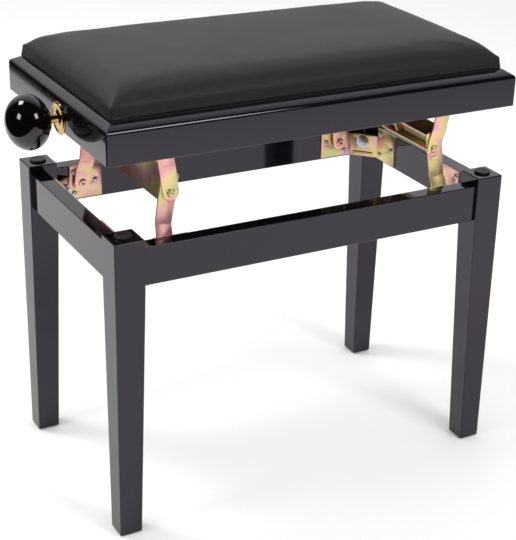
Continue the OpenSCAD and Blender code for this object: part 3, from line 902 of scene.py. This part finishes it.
def thread_tree():
    tree, given = new_tree("Sweep a thread", {
        "Start": "Vector", "Length": "Float", "Turns": "Float", "Radius": "Float",
        "Ridge": "Float", "Left hand": "Bool", "Finish": "Material"}, "Thread")
    spiral = add(tree, "GeometryNodeCurveSpiral", {
        "Resolution": 20, "Rotations": given["Turns"], "Start Radius": given["Radius"],
        "End Radius": given["Radius"], "Height": given["Length"], "Reverse": given["Left hand"]})
    ridge = add(tree, "GeometryNodeCurvePrimitiveCircle", {
        "Resolution": 4, "Radius": given["Ridge"]})
    swept = add(tree, "GeometryNodeCurveToMesh", {
        "Curve": spiral, "Profile Curve": ridge, "Fill Caps": True})
    laid = add(tree, "GeometryNodeTransform", {
        "Geometry": swept, "Translation": given["Start"], "Rotation": (0.0, math.radians(90), 0.0)})
    hand_over(tree, laid, given["Finish"], "Thread")
    return tree


THREADING = thread_tree()
thread_length = thread_reach - thread_start
for hand, start in (("left", -thread_reach), ("right", thread_start)):
    name = "spindle_thread_" + hand
    made = made_by(THREADING, name, bpy.data.meshes.new(name), {
        "Start": (MIDDLE.x + start, shaft_axis.y, shaft_axis.z), "Length": thread_length,
        "Turns": thread_length / THREAD_PITCH, "Radius": (spindle_r - 0.75) * MM,
        "Ridge": 0.74 * MM, "Left hand": hand == "left", "Finish": BRASS})
    tidy_mesh(made)
    finished(made, "spindle", replaces=False)
print("threads: turns each", round(thread_length / THREAD_PITCH, 1))

# %% [markdown]
# ## Cushion
# The cushion is foam on a board, with the cover pulled down all round and stapled underneath. Its
# sides are upright, and its corners are the lowest and sharpest places, because there the cover is
# pulled tightest. From every side the top climbs a steep shoulder and then a slow crown. The blank
# is an even grid of that shape, a little smaller than the finished cushion.

# %% Cushion before inflation
pad_low, pad_high = (Vector(v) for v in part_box("cushion"))
PAD_HALF_X = (pad_high.x - pad_low.x) / 2 / MM - 0.8
PAD_FRONT, PAD_BACK = pad_low.y / MM + 3.8, pad_high.y / MM + 1.0
PAD_CENTRE_Y = (PAD_FRONT + PAD_BACK) / 2
PAD_HALF_Y = (PAD_BACK - PAD_FRONT) / 2
PAD_BASE = pad_low.z / MM + 0.4
CORNER_HEIGHT, CROWN_RISE = 16.0, 20.0
SHOULDER_SHARE, SHOULDER_REACH, CROWN_REACH = 0.66, 5.5, 38.0
WAIST_SIDES, WAIST_ENDS = 1.4, 1.0
PAD_STEP, SIDE_LEVELS = 5.0, 4


def climb(from_edge):
    """How far the top has risen, 0 to 1, at this many mm from an edge: shoulder, then crown."""
    shoulder_rise = 1 - math.exp(-from_edge / SHOULDER_REACH)
    crown_rise = 1 - math.exp(-from_edge / CROWN_REACH)
    return SHOULDER_SHARE * shoulder_rise + (1 - SHOULDER_SHARE) * crown_rise


def waisted(x, y):
    """The sides pull in a little between the corners."""
    across = WAIST_SIDES * (1 - (x / PAD_HALF_X) ** 4) * y / PAD_HALF_Y
    along = WAIST_ENDS * (1 - (y / PAD_HALF_Y) ** 4) * x / PAD_HALF_X
    return x - along, y - across


def pad_blank():
    """A closed grid: the crowned top, the flat underside, and upright sides between them."""
    nx, ny = round(2 * PAD_HALF_X / PAD_STEP), round(2 * PAD_HALF_Y / PAD_STEP)
    corners, faces, index = [], [], {}

    def corner(i, j, level):
        key = (i, j, level)
        if key not in index:
            x, y = (2 * i / nx - 1) * PAD_HALF_X, (2 * j / ny - 1) * PAD_HALF_Y
            if level == SIDE_LEVELS:
                rise = climb(PAD_HALF_X - abs(x)) * climb(PAD_HALF_Y - abs(y))
                height = CORNER_HEIGHT + CROWN_RISE * rise
            else:
                height = CORNER_HEIGHT * level / SIDE_LEVELS
            x, y = waisted(x, y)
            index[key] = len(corners)
            corners.append((MIDDLE.x + x * MM, (PAD_CENTRE_Y + y) * MM, (PAD_BASE + height) * MM))
        return index[key]

    for i in range(nx):
        for j in range(ny):
            for level in (0, SIDE_LEVELS):
                faces.append((corner(i, j, level), corner(i + 1, j, level),
                              corner(i + 1, j + 1, level), corner(i, j + 1, level)))
    for level in range(SIDE_LEVELS):
        for i in range(nx):
            for j in (0, ny):
                faces.append((corner(i, j, level), corner(i + 1, j, level),
                              corner(i + 1, j, level + 1), corner(i, j, level + 1)))
        for j in range(ny):
            for i in (0, nx):
                faces.append((corner(i, j, level), corner(i, j + 1, level),
                              corner(i, j + 1, level + 1), corner(i, j, level + 1)))
    return mesh_object("padded_cushion", corners, faces)


cushion = pad_blank()
print("cushion blank mm:", [round(v / MM, 1) for v in cushion.dimensions])

# %% [markdown]
# The blank is inflated as cloth, which fills it the way foam fills a cover. Its underside is held,
# and no point may move more than a few millimetres, so the upright sides and the corners survive. A
# voxel remesh would round them off, and the even grid doesn't need one. Then the top is evened out.

# %% Inflate the cushion
def inflate(obj, pressure=4.0, frames=20, cap_mm=3.0):
    """Cloth inflation of obj, with its underside held and each point's movement capped."""
    start = [v.co.copy() for v in obj.data.vertices]
    held = obj.vertex_groups.new(name="held")
    floor_z = min(p.z for p in start)
    held.add([i for i, p in enumerate(start) if p.z < floor_z + 1.0 * MM], 1.0, "REPLACE")
    cloth = obj.modifiers.new("Cover", "CLOTH")
    fabric = cloth.settings
    fabric.quality = 6
    fabric.mass = 0.4
    fabric.tension_stiffness = fabric.compression_stiffness = 15.0
    fabric.bending_stiffness = 4.0
    fabric.vertex_group_mass = "held"
    fabric.use_pressure = True
    fabric.uniform_pressure_force = pressure
    fabric.effector_weights.gravity = 0.0
    cloth.point_cache.frame_start, cloth.point_cache.frame_end = 1, frames
    for number in range(1, frames + 1):
        scene.frame_set(number)
    graph = bpy.context.evaluated_depsgraph_get()
    swollen = [v.co.copy() for v in obj.evaluated_get(graph).data.vertices]
    obj.modifiers.clear()
    scene.frame_set(1)
    moved = []
    for vertex, old, new in zip(obj.data.vertices, start, swollen):
        step = new - old
        if step.length > cap_mm * MM:
            step *= cap_mm * MM / step.length
        vertex.co = old + step
        moved.append(step.length / MM)
    obj.vertex_groups.clear()
    return max(moved), sum(moved) / len(moved)


def stretch_smooth(obj, above, rounds=7):
    """Evens out the top as a taut cover does, and leaves the sides and corners where they are."""
    work = bmesh.new()
    work.from_mesh(obj.data)
    top = [v for v in work.verts if v.co.z > above]
    for _ in range(rounds):
        bmesh.ops.smooth_vert(
            work, verts=top, factor=0.5, use_axis_x=False, use_axis_y=False, use_axis_z=True)
    work.to_mesh(obj.data)
    work.free()


most, mean = inflate(cushion)
print("inflation moved the cover mm: most", round(most, 1), "mean", round(mean, 1))
stretch_smooth(cushion, (PAD_BASE + CORNER_HEIGHT + 3.0) * MM)

# %% [markdown]
# Where the cover goes round a corner, the spare material is folded flat and shows as a short
# upright crease. The top also carries a few very shallow dimples where the foam has settled.

# %% Folds and settling
smoother = cushion.modifiers.new("Finer mesh", "SUBSURF")
smoother.levels = smoother.render_levels = 1
settle(cushion)
FOLD_DEPTH, FOLD_WIDTH, FOLD_IN = 1.4, 3.0, 8.0


def fold_at(x, y, z):
    """How far a corner fold pulls the cover in at this point, in mm."""
    pull = 0.0
    for sx in (-1, 1):
        for sy in (-1, 1):
            corner_x, corner_y = sx * (PAD_HALF_X - FOLD_IN), sy * PAD_HALF_Y
            if abs(y - corner_y) > FOLD_IN:
                continue
            near = math.exp(-(((x - corner_x) / FOLD_WIDTH) ** 2))
            high = max(0.0, min(1.0, (20.0 - z) / 6.0))
            pull = max(pull, FOLD_DEPTH * near * high)
    return pull


def dimple_at(x, y):
    """Wide dimples with smaller ones among them, about -1 to 1."""
    wide = noise.noise(Vector((x / 46.0, y / 46.0, 3.7)))
    return wide + 0.5 * noise.noise(Vector((x / 17.0, y / 17.0, 9.1)))


DIMPLE_DEPTH = 0.22
for vertex in cushion.data.vertices:
    x, y = vertex.co.x / MM - MIDDLE.x / MM, vertex.co.y / MM - PAD_CENTRE_Y
    z = vertex.co.z / MM - PAD_BASE
    if z < 1.5:
        continue
    vertex.co.y -= math.copysign(fold_at(x, y, z), y) * MM
    on_top = min(1.0, max(0.0, (z - 15.0) / 6.0))
    vertex.co.z += DIMPLE_DEPTH * dimple_at(x, y) * on_top * MM
tidy_mesh(cushion)
finished(cushion, "cushion")
print("cushion mm:", [round(v / MM, 1) for v in cushion.dimensions],
      "faces", len(cushion.data.polygons))

# %% [markdown]
# Under the seat the board shows inside the frame. The cover wraps its edge as a thin skirt, and the
# hem is turned in under it, so a strip of leather runs round the opening. A hem is cut by hand, and
# its inner edge wanders a little. A ring of points with a little noise gives that.

# %% Board and hem
board = block("plywood_board", board_low, board_high)
finished(round_edges(board, 0.8, segments=2), "cushion_board")
seat_size = seat_high - seat_low
opening_x, opening_y = seat_size.x / 2 - rail_thickness, seat_size.y / 2 - rail_thickness
HEM_WIDTH, HEM_THICKNESS, SKIRT_THICKNESS = 15.0, 1.1, 0.7
hem_z = board_low.z - HEM_THICKNESS * MM


def rounded_rectangle(half_x, half_y, radius, steps=4, per_side=40):
    """Points round a rectangle with round corners, anticlockwise."""
    quarters = ((1, 1), (-1, 1), (-1, -1), (1, -1))
    centres = [(sx * (half_x - radius), sy * (half_y - radius)) for sx, sy in quarters]
    points = []
    for corner, (cx, cy) in enumerate(centres):
        turns = [math.radians(90 * (corner + i / steps)) for i in range(steps + 1)]
        points += [(cx + radius * math.cos(a), cy + radius * math.sin(a)) for a in turns]
        here = Vector(points[-1])
        there = here + Vector(centres[(corner + 1) % 4]) - Vector((cx, cy))
        points += [tuple(here.lerp(there, i / per_side)) for i in range(1, per_side)]
    return points


def hem():
    """A thin ring under the board, with an inner edge that wanders as a hand-cut hem does."""
    corners, faces = [], []
    outer = rounded_rectangle(opening_x / MM - 0.3, opening_y / MM - 0.3, 1.0)
    n = len(outer)
    inner = rounded_rectangle(opening_x / MM - HEM_WIDTH, opening_y / MM - HEM_WIDTH, 6.0)
    for level in (board_low.z, hem_z):
        corners += [(MIDDLE.x + x * MM, y * MM, level) for x, y in outer]
        for x, y in inner:
            wander = 1.0 + 0.018 * noise.noise(Vector((x / 30.0, y / 30.0, 5.0)))
            corners.append((MIDDLE.x + x * wander * MM, y * (2 * wander - 1) * MM, level))
    top_out, top_in, low_out, low_in = 0, n, 2 * n, 3 * n
    walls = ((top_out, top_in), (low_out, low_in), (top_out, low_out), (top_in, low_in))
    for i in range(n):
        j = (i + 1) % n
        faces += [(a + i, a + j, b + j, b + i) for a, b in walls]
    return mesh_object("cover_hem", corners, faces)


skirt_low = board_low - Vector((SKIRT_THICKNESS, SKIRT_THICKNESS, 0)) * MM
skirt_high = board_high + Vector((SKIRT_THICKNESS, SKIRT_THICKNESS, 0.6)) * MM
skirt = block("cover_skirt", skirt_low, skirt_high)
finished(round_edges(skirt, 0.6, segments=2), "cushion", replaces=False)
finished(hem(), "cushion", replaces=False)
print("hem points:", len(rounded_rectangle(opening_x / MM, opening_y / MM, 1.0)))

# %% [markdown]
# A staple gun sets its staples side by side along the hem. They are the same piece again, so the
# tree for the screws sets them too, from a bar with broken edges.

# %% Staples
STAPLES_A_SIDE, STAPLE_FROM_RAIL, STAPLE_FROM_CORNER = 19, 8.0, 22.0


def staple_places():
    """Evenly spaced places along the front and back hem, facing down."""
    reach_x = opening_x - STAPLE_FROM_CORNER * MM
    side_y = opening_y - STAPLE_FROM_RAIL * MM
    half = (STAPLES_A_SIDE - 1) // 2
    return [
        (Vector((MIDDLE.x + i / half * reach_x, sign * side_y, hem_z)), Vector((0, 0, -1)))
        for sign in (-1, 1) for i in range(-half, half + 1)
    ]


staple = block("master_staple", (-5 * MM, -0.6 * MM, -0.2 * MM), (5 * MM, 0.6 * MM, 0.7 * MM))
round_edges(staple, 0.25, segments=2)
MASTERS.append(staple)
set_pieces("cover_staples", staple_places(), staple, "board_screws", replaces=False)
print("staples:", len(staple_places()))

# %% [markdown]
# ## Finish on what stays
# The CAD parts that are not replaced keep their shape and get their real finish. The masters have
# been copied to all their places by now, so they are taken away.

# %% Paint the rest
for master in MASTERS:
    bpy.data.objects.remove(master)
kept = 0
for node, obj in frame["nodes"].items():
    give_finish(obj, FINISH_OF_SLOT[SLOT_OF[node]])
    kept += not obj.hide_render
print("CAD parts still showing:", kept)

# %% [markdown]
# ## Studio
# Gloss black shows what it reflects, so the studio is built for reflections. The floor is a sheet
# of white paper that ends a little to the left of the bench, which puts the dark band on the seat's
# left face. In the mirror finishes the room is dark but for the white wall behind.

# %% Floor and room
FLOOR_REACH, FLOOR_LEFT, FLOOR_SLANT = 8.0, -0.876, 0.01
floor_mesh = bpy.data.meshes.new("studio_floor")
floor_mesh.from_pydata([
    (FLOOR_LEFT - FLOOR_SLANT * FLOOR_REACH, -FLOOR_REACH, 0), (FLOOR_REACH, -FLOOR_REACH, 0),
    (FLOOR_REACH, FLOOR_REACH, 0), (FLOOR_LEFT + FLOOR_SLANT * FLOOR_REACH, FLOOR_REACH, 0),
], [], [(0, 1, 2, 3)])
floor = bpy.data.objects.new("studio_floor", floor_mesh)
scene.collection.objects.link(floor)
give_finish(floor, new_finish("studio_paper_white", {
    "Base Color": linear("#faf9f9"), "Roughness": 0.8})[0])

world = bpy.data.worlds.new("studio")
scene.world = world
world.use_nodes = True
surround = world.node_tree
rays = add(surround, "ShaderNodeLightPath").outputs
heading = add(surround, "ShaderNodeTexCoord").outputs["Generated"]
TO_WALL = (0.475, 0.780, 0.408)
toward_wall = add(surround, "ShaderNodeVectorMath", {
    0: heading, 1: TO_WALL}, operation="DOT_PRODUCT").outputs["Value"]
wall = add(surround, "ShaderNodeValToRGB", {"Fac": toward_wall}, [
    (0.55, "#151518"), (0.84, "#f2f0f2")])
room = add(surround, "ShaderNodeMix", {
    0: rays["Is Glossy Ray"], 6: linear("#f0f0f0"), 7: wall}, data_type="RGBA").outputs[2]
seen = add(surround, "ShaderNodeMix", {
    0: rays["Is Camera Ray"], 6: room, 7: linear("#ffffff")}, data_type="RGBA").outputs[2]
plug(surround.nodes["Background"], {"Color": seen})
print("floor ends at x in mm:", round(FLOOR_LEFT / MM))

# %% [markdown]
# Three small softboxes make the bright spots on the knob and the line along the seat's front edge.
# A small light has a sharp reflection in lacquer, and a large one would turn the black faces grey.

# %% Lights
def soft_light(name, place, size, power, target=(-0.2, 0.0, 0.5)):
    """A square area light that faces the bench."""
    lamp = bpy.data.objects.new(name, bpy.data.lights.new(name, "AREA"))
    scene.collection.objects.link(lamp)
    lamp.data.size = size
    lamp.data.energy = power
    lamp.location = place
    lamp.rotation_euler = (Vector(place) - Vector(target)).to_track_quat("Z", "Y").to_euler()


soft_light("overhead_softbox", (-1.23, 1.20, 2.62), 0.8, 28.0)
soft_light("left_softbox", (-2.51, -0.06, 1.40), 0.7, 14.0)
soft_light("front_softbox", (0.60, -1.73, 1.89), 0.8, 20.0)
scene.view_settings.view_transform = "Standard"
